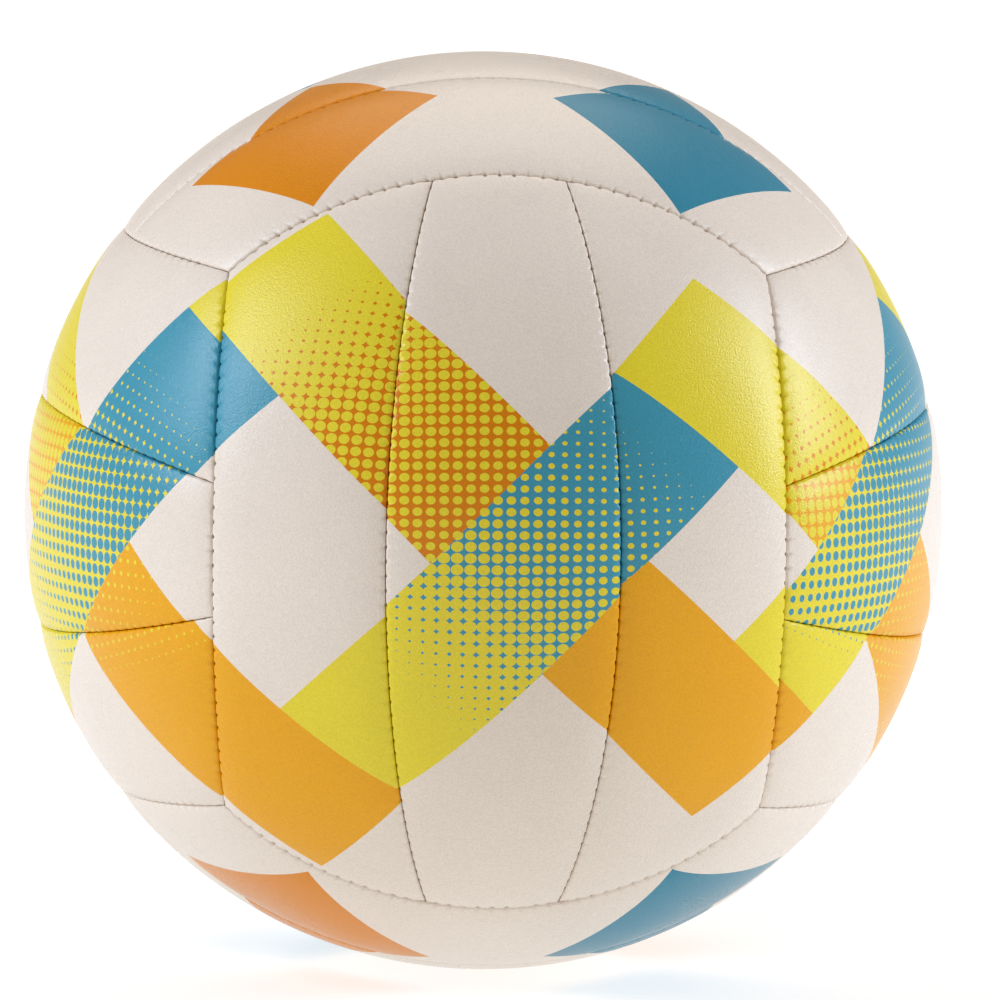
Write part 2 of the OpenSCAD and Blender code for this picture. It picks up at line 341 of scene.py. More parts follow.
# %% Halftone group
def make_halftone():
    """A group that gives 1 inside a dot and 0 outside."""
    group = bpy.data.node_groups.new("halftone", "ShaderNodeTree")
    group.interface.new_socket("Place mm", in_out="INPUT", socket_type="NodeSocketVector")
    group.interface.new_socket("Radius", in_out="INPUT", socket_type="NodeSocketFloat")
    group.interface.new_socket("Dot", in_out="OUTPUT", socket_type="NodeSocketFloat")
    start = add(group, "NodeGroupInput")
    cells = add(group, "ShaderNodeVectorMath", {0: start.outputs[0], 1: (*DOT_PITCH, 1)},
                operation="DIVIDE")
    part = add(group, "ShaderNodeVectorMath", {0: cells.outputs[0]}, operation="FRACTION")
    centred = add(group, "ShaderNodeVectorMath", {0: part.outputs[0], 1: (0.5, 0.5, 0)},
                  operation="SUBTRACT")
    flat = add(group, "ShaderNodeVectorMath", {0: centred.outputs[0], 1: (1, 1, 0)},
               operation="MULTIPLY")
    reach = add(group, "ShaderNodeVectorMath", {0: flat.outputs[0]}, operation="LENGTH")
    inside = add(group, "ShaderNodeMath", {0: reach.outputs["Value"], 1: start.outputs[1]},
                 operation="LESS_THAN")
    add(group, "NodeGroupOutput", {0: inside.outputs[0]})
    return group


HALFTONE = make_halftone()
print(HALFTONE.name, "has", len(HALFTONE.nodes), "nodes")

# %% [markdown]
# Each patch multiplies its half planes into a mask, mixes its dots into its ground
# ink, and lays the result over what is under it. A colour ramp turns the place
# along the stripe into the dot radius. Its middle stands for the strip's middle.

# %% Ink patches
RAMP_SPAN = 240


def lay_patch(tree, place, under, ink):
    """Lays one patch of ink over the colour under it."""
    mask = None
    for x, y, limit in ink["edges"]:
        side = add(tree, "ShaderNodeVectorMath", {0: place, 1: (x, y, 0)},
                   operation="DOT_PRODUCT")
        inside = add(tree, "ShaderNodeMath", {0: side.outputs["Value"], 1: limit},
                     operation="LESS_THAN").outputs[0]
        mask = inside if mask is None else add(
            tree, "ShaderNodeMath", {0: mask, 1: inside}, operation="MULTIPLY").outputs[0]
    shade = colour(ink["ground"])
    if ink["dots"]:
        run = add(tree, "ShaderNodeVectorMath", {0: place, 1: (*ink["along"], 0)},
                  operation="DOT_PRODUCT")
        share = add(tree, "ShaderNodeMath", {0: run.outputs["Value"], 1: 1 / RAMP_SPAN, 2: 0.5},
                    operation="MULTIPLY_ADD")
        ramp = add(tree, "ShaderNodeValToRGB", {0: share.outputs[0]})
        steps = ramp.color_ramp.elements
        places = [spot / RAMP_SPAN + 0.5 for spot, radius in ink["stops"]]
        steps[0].position, steps[-1].position = places[0], places[-1]
        for middle in places[1:-1]:
            steps.new(middle)
        for step, (spot, radius) in zip(steps, ink["stops"]):
            step.color = (radius, radius, radius, 1)
        dots = add(tree, "ShaderNodeGroup", node_tree=HALFTONE)
        tree.links.new(place, dots.inputs[0])
        tree.links.new(ramp.outputs["Color"], dots.inputs[1])
        shade = add(tree, "ShaderNodeMix", {0: dots.outputs[0], 6: shade, 7: colour(ink["dots"])},
                    data_type="RGBA").outputs[2]
    return add(tree, "ShaderNodeMix", {0: mask, 6: under, 7: shade}, data_type="RGBA").outputs[2]


print("a ramp covers", RAMP_SPAN, "mm of stripe")

# %% [markdown]
# The grain is worked out in the object's own space, so it has the same size on
# every panel. Two layers make it: creases of a third of a millimetre, drawn out to
# twice that one way as on the real skin, and a rounder pebble of 0.5 mm. Its
# valleys are lower and carry a little painted shade, which keeps the grain visible in
# soft light. The attribute's third number is how deep the skin has sunk, and a
# painted brown shade darkens the skin where it goes down into a seam.

# %% Leather material
CREASE_MM, PEBBLE_MM, GRAIN_DEPTH_MM, CLOUD_MM = 0.33, 0.5, 0.1, 22
# The painted brown shade in the seams' valleys, and the depths where it starts and where it is
# full.
PAINTED_SEAM_SHADE, SEAM_SHADE_FROM_MM, SEAM_SHADE_TO_MM = "#A88F78", 1.0, 2.0


def make_leather(name, patches):
    """Embossed synthetic leather with one panel's print."""
    material, tree, shader = new_material(name)
    place = add(tree, "ShaderNodeAttribute", attribute_name="strip_mm").outputs["Vector"]
    spots = add(tree, "ShaderNodeTexCoord").outputs["Object"]
    tint = colour(WHITE)
    for ink in patches:
        tint = lay_patch(tree, place, tint, ink)
    # Painted brown shade in the seams' valleys: the deeper the skin sinks into a seam, the browner
    # it is painted.
    sunk = add(tree, "ShaderNodeSeparateXYZ", {0: place}).outputs["Z"]
    edge = add(tree, "ShaderNodeMapRange", {0: sunk, 1: SEAM_SHADE_FROM_MM, 2: SEAM_SHADE_TO_MM})
    tint = add(tree, "ShaderNodeMix", {0: edge.outputs[0], 6: tint, 7: colour(PAINTED_SEAM_SHADE)},
               data_type="RGBA", blend_type="MULTIPLY").outputs[2]
    slant = add(tree, "ShaderNodeVectorRotate", {"Vector": spots, "Rotation": (0.6, 0.75, 0.6)},
                rotation_type="EULER_XYZ")
    drawn = add(tree, "ShaderNodeMapping", {"Vector": slant.outputs[0], "Scale": (1, 0.5, 1)})
    crease = add(tree, "ShaderNodeTexNoise",
                 {"Vector": drawn.outputs[0], "Scale": 1 / (CREASE_MM * MM), "Detail": 1,
                  "Roughness": 0.5, "Distortion": 0.3})
    pebble = add(tree, "ShaderNodeTexVoronoi", {"Vector": spots, "Scale": 1 / (PEBBLE_MM * MM)},
                 feature="SMOOTH_F1")
    grain = add(tree, "ShaderNodeMix", {0: 0.3, 2: crease.outputs[0], 3: pebble.outputs[0]},
                data_type="FLOAT")
    bump = add(tree, "ShaderNodeBump", {"Height": grain.outputs[0], "Strength": 1.0,
                                        "Distance": GRAIN_DEPTH_MM * MM})

    cloud = add(tree, "ShaderNodeTexNoise",
                {"Vector": spots, "Scale": 1 / (CLOUD_MM * MM), "Detail": 3})
    worn = add(tree, "ShaderNodeMapRange", {0: cloud.outputs[0], 1: 0.3, 2: 0.7, 3: 0.97, 4: 1.0})
    # Painted shade in the grain's creases: the lower the grain, the darker it is painted.
    crease_shade = add(tree, "ShaderNodeMapRange",
                 {0: grain.outputs[0], 1: 0.35, 2: 0.58, 3: 0.9, 4: 1.0})
    wear_and_crease_shade = add(tree, "ShaderNodeMath", {0: worn.outputs[0], 1: crease_shade.outputs[0]},
              operation="MULTIPLY")
    shaded = add(tree, "ShaderNodeMix", {0: 1, 6: tint, 7: wear_and_crease_shade.outputs[0]},
                 data_type="RGBA", blend_type="MULTIPLY")
    gloss = add(tree, "ShaderNodeMapRange", {0: cloud.outputs[0], 1: 0.3, 2: 0.7, 3: 0.25, 4: 0.32})
    fill(tree, shader, {"Base Color": shaded.outputs[2], "Roughness": gloss.outputs[0],
                        "Normal": bump.outputs[0], "IOR": 1.48, "Specular IOR Level": 0.33})
    return material


LEATHER = {}
for face, strips in STRIPS.items():
    for strip, word in strips.items():
        LEATHER[face, strip] = make_leather(f"embossed_leather_{face}_{word}", PRINTS[face, strip])
print(len(LEATHER), "leather materials")

# %% [markdown]
# ## Where the seams run
#
# The cover is laid out like a cube. Every seam is a circle on the ball, cut by a
# plane: an edge seam passes two cube corners and the middle of a face's side, and
# a strip seam passes the middle and ends of a middle strip's side. A plane is kept
# as its normal and its distance from the ball's centre, with the radius as 1.
#
# A face is described by three directions: out of it, across its strips, and along
# them.

# %% Seam layout
FACE_W, STRIP_W, STRIP_END_W = 140.2, 53.7, 30.3
FACES = {
    "front": ((0, -1, 0), (1, 0, 0), (0, 0, 1)),
    "back": ((0, 1, 0), (-1, 0, 0), (0, 0, 1)),
    "left": ((-1, 0, 0), (0, 0, 1), (0, 1, 0)),
    "right": ((1, 0, 0), (0, 0, 1), (0, 1, 0)),
    "top": ((0, 0, 1), (0, -1, 0), (1, 0, 0)),
    "bottom": ((0, 0, -1), (0, -1, 0), (1, 0, 0)),
}
CORNER = 1 / math.sqrt(3)
face_half, strip_half, end_half = (w / 2 / BALL_R for w in (FACE_W, STRIP_W, STRIP_END_W))
EDGE_TILT = math.atan2(math.sin(face_half) - CORNER, math.cos(face_half) - CORNER)
STRIP_TILT = math.atan2(math.sin(strip_half) - math.sin(end_half),
                        math.cos(strip_half) - math.cos(end_half) * math.sin(face_half))
print("seam tilts", round(math.degrees(EDGE_TILT), 1), round(math.degrees(STRIP_TILT), 1))

# %% Seam circles
def side_seam(face, side, half, tilt, inside):
    """A seam along a face's strips. inside is 1 for a panel on the axis's side."""
    out, across, along = (np.array(v, float) for v in FACES[face])
    return {"normal": math.cos(tilt) * side * across - math.sin(tilt) * out,
            "level": math.sin(half - tilt), "inside": inside, "run": along,
            "edge": tilt == EDGE_TILT,
            "top": math.sin(tilt) * side * across + math.cos(tilt) * out}


def end_seam(face, end):
    """The seam at an end of a face's strips, which is its neighbour's side seam."""
    out, across, along = (np.array(v, float) for v in FACES[face])
    return {"normal": math.cos(EDGE_TILT) * out - math.sin(EDGE_TILT) * end * along,
            "level": math.sin(face_half - EDGE_TILT), "inside": 1, "run": across, "edge": True,
            "top": math.sin(EDGE_TILT) * out + math.cos(EDGE_TILT) * end * along}


def seams_of(face, strip):
    """The seams on both sides of a strip and at both its ends."""
    if strip == 0:
        sides = [side_seam(face, k, strip_half, STRIP_TILT, -1) for k in (-1, 1)]
    else:
        sides = [side_seam(face, strip, strip_half, STRIP_TILT, 1),
                 side_seam(face, strip, face_half, EDGE_TILT, -1)][::strip]
    return sides, [end_seam(face, k) for k in (-1, 1)]


def seam_level(seam, inset):
    """The plane of a circle set in from the seam by inset mm, round the ball."""
    angle = math.acos(seam["level"]) - seam["inside"] * inset / BALL_R
    return math.cos(angle)


print("edge seam at", round(math.degrees(math.acos(end_seam("front", 1)["level"])), 1), "degrees")

# %% [markdown]
# ## Pillowed panels
#
# A sewn panel is not a flat patch. Its foam swells it, its edges roll over a low
# bead and turn in at the seam, and each stitch pulls the edge down a little, so the
# edge is slightly scalloped. The pull is stronger at the seams between faces. So
# each panel is a fine grid in mesh code, with rows and columns crowded at its edges.
# Near an edge the grid lines keep a set distance from the seam, and further in they
# fan out evenly, which keeps the roll the same all round the panel.
#
# At a corner two edges meet. Their depths are joined by a power sum, which lies
# between the larger of the two and their plain sum, so the corner stays clear of
# the foam.

# %% Edge profile
GAP_HALF, ROLL_R, FIN_DEPTH, FIN_TOP = 0.06, 0.5, 3.6, 0.6
SWELL, SWELL_REACH, CORNER_SUM = 0.7, 3.2, 1.5
BEAD, BEAD_INSET, BEAD_W = 0.08, 0.55, 0.3
EDGE_PULL, STRIP_PULL, PULL_REACH, PULL_SHARPNESS, STITCH_PITCH = 1.0, 0.6, 0.55, 7, 3.3
EDGE_ZONE = 9.0
ROLL_LINES, ZONE_LINES = 8, 10


def roll_depth(inset):
    """How far the skin lies below the ball's full radius, at a distance from a seam."""
    lean = np.clip((GAP_HALF + ROLL_R - inset) / ROLL_R, 0, 1)
    swell = SWELL * (np.exp((GAP_HALF - inset) / SWELL_REACH)
                     - math.exp((GAP_HALF - EDGE_ZONE) / SWELL_REACH))
    bead = BEAD * np.exp(-((inset - BEAD_INSET) / BEAD_W) ** 2)
    return ROLL_R * (1 - np.sqrt(1 - lean ** 2)) + swell - bead


def edge_lines():
    """Distances from the seam, and how much deeper the turned-in edge goes there."""
    arc = GAP_HALF + ROLL_R * (1 - np.cos(np.linspace(0, math.pi / 2, ROLL_LINES)))
    rest = np.linspace(arc[-1], EDGE_ZONE, ZONE_LINES)[1:]
    insets = np.concatenate([[GAP_HALF, GAP_HALF], arc, rest])
    deeper = np.zeros(len(insets))
    deeper[:2] = FIN_DEPTH, FIN_TOP
    return insets, deeper


print(len(edge_lines()[0]), "grid lines at each edge;",
      "valley", round(float(roll_depth(GAP_HALF)), 2), "mm deep")

# %% [markdown]
# A grid line is a circle on the ball, cut by a plane, as a seam is. Between the two
# edge zones, each plane is a blend of the zones' own planes, set by how far a point
# on the panel's middle line lies from each. Where a column's circle meets a row's,
# there is a point of the grid.

# %% Panel grid
SEARCH_TURN, SEARCH_STEPS = 1.2, 4000


def grid_planes(first, last, middle, out, across):
    """Planes of the grid lines from one seam to the opposite one."""
    insets, deeper = edge_lines()
    planes = [(first["normal"], seam_level(first, d), d, w) for d, w in zip(insets, deeper)]
    a, b = (seam_level(seam, EDGE_ZONE) for seam in (first, last))

    def from_first(x):
        return first["inside"] * (x @ first["normal"] - a)

    def from_last(x):
        return last["inside"] * (x @ last["normal"] - b)

    ends = []
    for seam, level, sign in ((first, a, -1), (last, b, 1)):
        turns = np.linspace(0, SEARCH_TURN, SEARCH_STEPS) * sign
        points = np.cos(turns)[:, None] * out + np.sin(turns)[:, None] * across
        ends.append(turns[np.argmax(seam["inside"] * (points @ seam["normal"] - level) < 0)])
    for turn in np.linspace(*ends, middle + 2)[1:-1]:
        x = math.cos(turn) * out + math.sin(turn) * across
        share = from_first(x) / (from_first(x) + from_last(x))
        normal = ((1 - share) * first["inside"] * first["normal"]
                  - share * last["inside"] * last["normal"])
        level = (1 - share) * first["inside"] * a - share * last["inside"] * b
        planes.append((normal, level, EDGE_ZONE, 0))
    planes += [(last["normal"], seam_level(last, d), d, w) for d, w in zip(insets, deeper)][::-1]
    return planes


def crossings(columns, rows, out):
    """Points where each column's circle crosses each row's, on a ball of radius 1."""
    n1 = np.array([c[0] for c in columns])[None, :, :]
    n2 = np.array([r[0] for r in rows])[:, None, :]
    c1 = np.array([c[1] for c in columns])[None, :, None]
    c2 = np.array([r[1] for r in rows])[:, None, None]
    line = np.cross(n1, n2)
    size = (line ** 2).sum(-1, keepdims=True)
    base = (c1 * np.cross(n2, line) + c2 * np.cross(line, n1)) / size
    step = np.sqrt(np.maximum(1 - (base ** 2).sum(-1, keepdims=True), 0) / size)
    sign = np.sign((line * out).sum(-1, keepdims=True))
    return base + sign * step * line


print("an edge zone is", EDGE_ZONE, "mm wide")

# %% [markdown]
# The stitches' pull follows the distance along a seam. It is measured round the
# seam's own axis, so the two panels that share a seam dip at the same stitches.

# %% Build the panels
def stitch_pull(points, seam):
    """How far the stitches of one seam pull the skin down."""
    radius = math.sqrt(1 - seam["level"] ** 2) * BALL_R
    run = radius * np.arctan2(points @ seam["run"], points @ seam["top"])
    inset = BALL_R * seam["inside"] * (math.acos(seam["level"])
                                       - np.arccos(np.clip(points @ seam["normal"], -1, 1)))
    wave = (0.5 + 0.5 * np.cos(2 * math.pi * run / STITCH_PITCH)) ** PULL_SHARPNESS
    pull = EDGE_PULL if seam["edge"] else STRIP_PULL
    return pull * wave * np.exp(-(np.maximum(inset, 0) / PULL_REACH) ** 2)


def strip_axes(face, strip):
    """A strip's own directions: out of its middle, across it, and along it."""
    out, across, along = (np.array(v, float) for v in FACES[face])
    turn = strip * (face_half + strip_half) / 2
    return (math.cos(turn) * out + math.sin(turn) * across,
            math.cos(turn) * across - math.sin(turn) * out, along)


def build_panel(face, strip, middle_columns, middle_rows):
    """One panel's points, each point's place on the strip and its depth, and faces."""
    out, across, along = strip_axes(face, strip)
    sides, ends = seams_of(face, strip)
    columns = grid_planes(*sides, middle_columns, out, across)
    rows = grid_planes(*ends, middle_rows, out, along)
    x = crossings(columns, rows, out)
    from_sides = roll_depth(np.array([c[2] for c in columns])) + [c[3] for c in columns]
    from_ends = roll_depth(np.array([r[2] for r in rows])) + [r[3] for r in rows]
    depth = (np.maximum(from_sides, 0)[None, :] ** CORNER_SUM
             + np.maximum(from_ends, 0)[:, None] ** CORNER_SUM) ** (1 / CORNER_SUM)
    depth += sum(stitch_pull(x, seam) for seam in sides + ends)
    places = x * ((BALL_R - np.minimum(depth, FIN_DEPTH)) * MM)[..., None]
    u = BALL_R * np.arcsin(x @ across)
    v = BALL_R * np.arctan2(x @ along, x @ out)

    count_v, count_u = x.shape[:2]
    index = np.arange(count_v * count_u).reshape(count_v, count_u)
    quads = np.stack([index[:-1, :-1], index[:-1, 1:], index[1:, 1:], index[1:, :-1]], -1)
    if np.dot(np.cross(across, along), out) < 0:
        quads = quads[..., ::-1]
    return places, np.stack([u, v, depth], -1), quads


print("out of the front right strip:", strip_axes("front", 1)[0].round(2).tolist())

# %% [markdown]
# The valve sits in the middle of one panel on the far side. There the grid's
# squares give way to rings that end at the hole, and the skin dips into it over a
# small rounded lip.

# %% Hole for the valve
HOLE_R, LIP_R, HOLE_WALL = 3.15, 0.5, 2.0
WINDOW_V, WINDOW_U = 16, 12
BLEND_SHARES = [0.7, 0.45, 0.25, 0.1]
LIP_TURNS = np.linspace(0, math.pi / 2, 5)


def cut_hole(places, strip_mm, quads):
    """Puts rings and a round hole where the panel's middle squares were."""
    count_v, count_u = places.shape[:2]
    v0, v1 = count_v // 2 - WINDOW_V, count_v // 2 + WINDOW_V
    u0, u1 = count_u // 2 - WINDOW_U, count_u // 2 + WINDOW_U
    keep = np.ones(quads.shape[:2], bool)
    keep[v0:v1, u0:u1] = False
    rim = ([(v0, k) for k in range(u0, u1)] + [(k, u1) for k in range(v0, v1)]
           + [(v1, k) for k in range(u1, u0, -1)] + [(k, u0) for k in range(v1, v0, -1)])
    rim_places = np.array([places[r] for r in rim])
    rim_mm = np.array([strip_mm[r] for r in rim])
    centre = np.array([0, 1, 0]) * BALL_R * MM
    flat = rim_places - centre
    flat[:, 1] = 0
    away = flat / np.linalg.norm(flat, axis=1)[:, None]
    far = np.linalg.norm(flat, axis=1)
    all_places, all_mm = [places.reshape(-1, 3)], [strip_mm.reshape(-1, 3)]
    faces = [quads[keep]]
    before = np.array([r[0] * count_u + r[1] for r in rim])
    total = count_v * count_u
    rings = [(HOLE_R + LIP_R) * MM * (1 - s) + far * s for s in BLEND_SHARES]
    rings += [np.full(len(rim), (HOLE_R + LIP_R * (1 - math.sin(t))) * MM) for t in LIP_TURNS]
    rings += [np.full(len(rim), HOLE_R * MM)]
    drops = [0] * len(BLEND_SHARES) + [LIP_R * (1 - math.cos(t)) for t in LIP_TURNS] + [HOLE_WALL]
    for ring, drop in zip(rings, drops):
        height = np.sqrt((BALL_R * MM) ** 2 - ring ** 2) - drop * MM
        points = away * ring[:, None]
        points[:, 1] = height
        all_places.append(points)
        share = (ring / far)[:, None]
        all_mm.append(rim_mm * share)
        after = total + np.arange(len(rim))
        total += len(rim)
        faces.append(np.stack([before, np.roll(before, -1), np.roll(after, -1), after], -1))
        before = after
    used, faces = np.unique(np.concatenate(faces), return_inverse=True)
    return np.concatenate(all_places)[used], np.concatenate(all_mm)[used], faces.reshape(-1, 4)


print("hole", 2 * HOLE_R, "mm across")

# %% Turn the panels into objects
MIDDLE_COLUMNS, SIDE_COLUMNS, ROWS = 74, 64, 424


def panel_object(name, places, strip_mm, quads, material):
    """A smooth mesh object from arrays of points and faces."""
    mesh = bpy.data.meshes.new(name)
    mesh.from_pydata(places.reshape(-1, 3).tolist(), [], quads.reshape(-1, 4).tolist())
    data = mesh.attributes.new("strip_mm", "FLOAT_VECTOR", "POINT")
    data.data.foreach_set("vector", strip_mm.reshape(-1).astype(np.float32))
    mesh.shade_smooth()
    mesh.materials.append(material)
    thing = new_object(name, mesh)
    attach(thing, "root")
    return thing


triangles = 0
for face, strips in STRIPS.items():
    for strip, word in strips.items():
        parts = build_panel(face, strip, SIDE_COLUMNS if strip else MIDDLE_COLUMNS, ROWS)
        if (face, strip) == ("back", 0):
            parts = cut_hole(*parts)
        panel = panel_object(f"panel_{face}_{word}", *parts, LEATHER[face, strip])
        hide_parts(f"cover_{face}_{word}")
        triangles += 2 * len(panel.data.polygons)
print("18 panels,", triangles, "triangles")

# %% [markdown]
# ## Stitches
#
# The thread runs inside the ball, and from outside only its short crossings show,
# deep in the valley where two panels meet. They repeat every few millimetres along
# a path, which is a task for Geometry Nodes: the tree takes a seam's line, sets
# evenly spaced points on it, and lays one small bowed bar of thread across the seam
# at each, turned to the line and to the ball.

# %% Stitch tree
BAR_STEPS, THREAD_SIDES = 4, 6


def make_stitch_tree():
    """A Geometry Nodes tree that sews along the edges of a mesh line."""
    tree = bpy.data.node_groups.new("seam_stitches", "GeometryNodeTree")
    for name, kind, value in (("Geometry", "Geometry", None), ("Stitches", "Int", 41),
                              ("Thread thickness", "Float", 0.26 * MM),
                              ("Half span", "Float", 0.38 * MM), ("Bow", "Float", 0.2 * MM),
                              ("Material", "Material", None)):
        socket = tree.interface.new_socket(name, in_out="INPUT", socket_type="NodeSocket" + kind)
        if value is not None:
            socket.default_value = value
    tree.interface.new_socket("Geometry", in_out="OUTPUT", socket_type="NodeSocketGeometry")
    given = add(tree, "NodeGroupInput").outputs
    path = add(tree, "GeometryNodeMeshToCurve", {"Mesh": given["Geometry"]})
    spots = add(tree, "GeometryNodeResampleCurve", {"Curve": path.outputs[0],
                                                    "Count": given["Stitches"]})

    outward = add(tree, "GeometryNodeInputPosition")
    stand = add(tree, "FunctionNodeAlignRotationToVector", {"Vector": outward.outputs[0]}, axis="Z")
    onward = add(tree, "GeometryNodeInputTangent")
    turn = add(tree, "FunctionNodeAlignRotationToVector",
               {"Rotation": stand.outputs[0], "Vector": onward.outputs[0]},
               axis="X", pivot_axis="Z")

    left = add(tree, "ShaderNodeMath", {0: given["Half span"], 1: -1}, operation="MULTIPLY")
    start = add(tree, "ShaderNodeCombineXYZ", {"Y": left.outputs[0]})
    middle = add(tree, "ShaderNodeCombineXYZ", {"Z": given["Bow"]})
    end = add(tree, "ShaderNodeCombineXYZ", {"Y": given["Half span"]})
    bow = add(tree, "GeometryNodeCurveQuadraticBezier",
              {"Resolution": BAR_STEPS, "Start": start.outputs[0], "Middle": middle.outputs[0],
               "End": end.outputs[0]})
    half = add(tree, "ShaderNodeMath", {0: given["Thread thickness"], 1: 0.5}, operation="MULTIPLY")
    round_thread = add(tree, "GeometryNodeCurvePrimitiveCircle",
                       {"Resolution": THREAD_SIDES, "Radius": half.outputs[0]})
    bar = add(tree, "GeometryNodeCurveToMesh",
              {"Curve": bow.outputs[0], "Profile Curve": round_thread.outputs[0],
               "Fill Caps": True})
    sewn = add(tree, "GeometryNodeInstanceOnPoints",
               {"Points": spots.outputs[0], "Instance": bar.outputs[0],
                "Rotation": turn.outputs[0]})
    solid = add(tree, "GeometryNodeRealizeInstances", {"Geometry": sewn.outputs[0]})
    dressed = add(tree, "GeometryNodeSetMaterial", {"Geometry": solid.outputs[0],
                                                    "Material": given["Material"]})
    add(tree, "NodeGroupOutput", {"Geometry": dressed.outputs[0]})
    return tree


STITCH_TREE = make_stitch_tree()
print("inputs:", [item.name for item in STITCH_TREE.interface.items_tree if item.in_out == "INPUT"])

# %% [markdown]
# The thread is polyester, spun and slightly waxed: a soft off-white with a fine
# fibrous break in its light.

# %% Thread material
def make_thread():
    """Spun polyester thread."""
    material, tree, shader = new_material("sewing_thread")
    spots = add(tree, "ShaderNodeTexCoord").outputs["Object"]
    fibre = add(tree, "ShaderNodeTexNoise",
                {"Vector": spots, "Scale": 1 / (0.15 * MM), "Detail": 3})
    tint = add(tree, "ShaderNodeMix", {0: fibre.outputs[0], 6: colour("#C2B9AB"),
                                       7: colour("#EAE4DA")}, data_type="RGBA")
    bump = add(tree, "ShaderNodeBump", {"Height": fibre.outputs[0], "Strength": 0.6,
                                        "Distance": 0.06 * MM})
    fill(tree, shader, {"Base Color": tint.outputs[2], "Normal": bump.outputs[0],
                        "Roughness": 0.6, "Sheen Weight": 0.3})
    return material


THREAD = make_thread()
print(THREAD.name)

# %% [markdown]
# A seam's line runs at the bottom of its valley, and its ends stop short of the
# corner where three seams meet. Its length is a whole number of stitches, so the
# thread crosses where the panels' edges dip. Each CAD thread node holds the two
# seams of one face, so both lines go into one piece.

# %% Sew the seams
STITCH_DEPTH, END_ROOM, LINE_STEPS = 2.2, 1.6, 8


def seam_line(seam, half_angle):
    """Points along the bottom of a seam's valley, and how many stitches fit."""
    radius = math.sqrt(1 - seam["level"] ** 2)
    count = int((half_angle * radius * BALL_R - END_ROOM) / STITCH_PITCH)
    far = count * STITCH_PITCH / (radius * BALL_R)
    turns = np.linspace(-far, far, 2 * LINE_STEPS * count + 1)[:, None]
    ring = np.cos(turns) * seam["top"] + np.sin(turns) * seam["run"]
    points = seam["level"] * seam["normal"] + radius * ring
    return points * (BALL_R - STITCH_DEPTH) * MM, 2 * count + 1


def sew(name, pair, half_angle):
    """One piece with the stitches of the two seams beside a face or its middle strip."""
    lines = [seam_line(seam, half_angle) for seam in pair]
    points = np.concatenate([line[0] for line in lines])
    size = len(lines[0][0])
    links = [(k, k + 1) for k in range(2 * size - 1) if k != size - 1]
    path = bpy.data.meshes.new(name + "_path")
    path.from_pydata(points.tolist(), links, [])
    guide = new_object(name + "_path", path)
    sewing = guide.modifiers.new("sewing", "NODES")
    sewing.node_group = STITCH_TREE
    for item in STITCH_TREE.interface.items_tree:
        if item.in_out == "INPUT" and item.name == "Stitches":
            sewing[item.identifier] = lines[0][1]
        if item.in_out == "INPUT" and item.name == "Material":
            sewing[item.identifier] = THREAD
    seen = guide.evaluated_get(bpy.context.evaluated_depsgraph_get())
    mesh = bpy.data.meshes.new_from_object(seen)
    bpy.data.objects.remove(guide)
    mesh.shade_smooth()
    stitches = new_object(name, mesh)
    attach(stitches, "root")
    return stitches, 2 * lines[0][1]


total = 0
for face in FACES:
    edges = [side_seam(face, k, face_half, EDGE_TILT, 1) for k in (-1, 1)]
    edge_angle = math.asin(CORNER / math.sqrt(1 - edges[0]["level"] ** 2))
    sides = [side_seam(face, k, strip_half, STRIP_TILT, 1) for k in (-1, 1)]
    side_angle = math.asin(math.cos(end_half) * math.cos(face_half)
                           / math.sqrt(1 - sides[0]["level"] ** 2))
    for kind, pair, half_angle in (("edge", edges, edge_angle), ("strip", sides, side_angle)):
        stitches, count = sew(f"stitches_{kind}_{face}", pair, half_angle)
        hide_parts(f"{kind}_thread_{face}")
        total += count
print(total, "stitches,", len(stitches.data.polygons) // count, "faces each")

# %% [markdown]
# ## What lies under the skin
#
# Foam, cloth, bladder and valve keep their CAD shapes and get their own finishes.
# The foam is cut from a block of fine closed cells, the lining and the patch are
# woven cotton and polyester, and the bladder and valve are moulded rubber.

# %% Foam material
def make_foam():
    """Closed-cell foam, sliced so that its cells lie open."""
    material, tree, shader = new_material("cell_foam")
    spots = add(tree, "ShaderNodeTexCoord").outputs["Object"]
    cells = add(tree, "ShaderNodeTexVoronoi", {"Vector": spots, "Scale": 1 / (0.6 * MM)})
    tint = add(tree, "ShaderNodeMix", {0: cells.outputs["Distance"], 6: colour("#EADBA2"),
                                       7: colour("#F6E9BC")}, data_type="RGBA")
    bump = add(tree, "ShaderNodeBump", {"Height": cells.outputs["Distance"], "Strength": 0.7,
                                        "Distance": 0.2 * MM})
    fill(tree, shader, {"Base Color": tint.outputs[2], "Normal": bump.outputs[0],
                        "Roughness": 0.9})
    return material


FOAM = make_foam()
print(FOAM.name)

# %% [markdown]
# A weave is two sets of ridges at right angles. On a round shell they are drawn in
# space along all three axes, so every part of the ball has two sets that cross. A
# Wave Texture at a scale of 1 has a ridge every 0.314 m.

# %% Woven material
WAVE_PITCH = 0.314


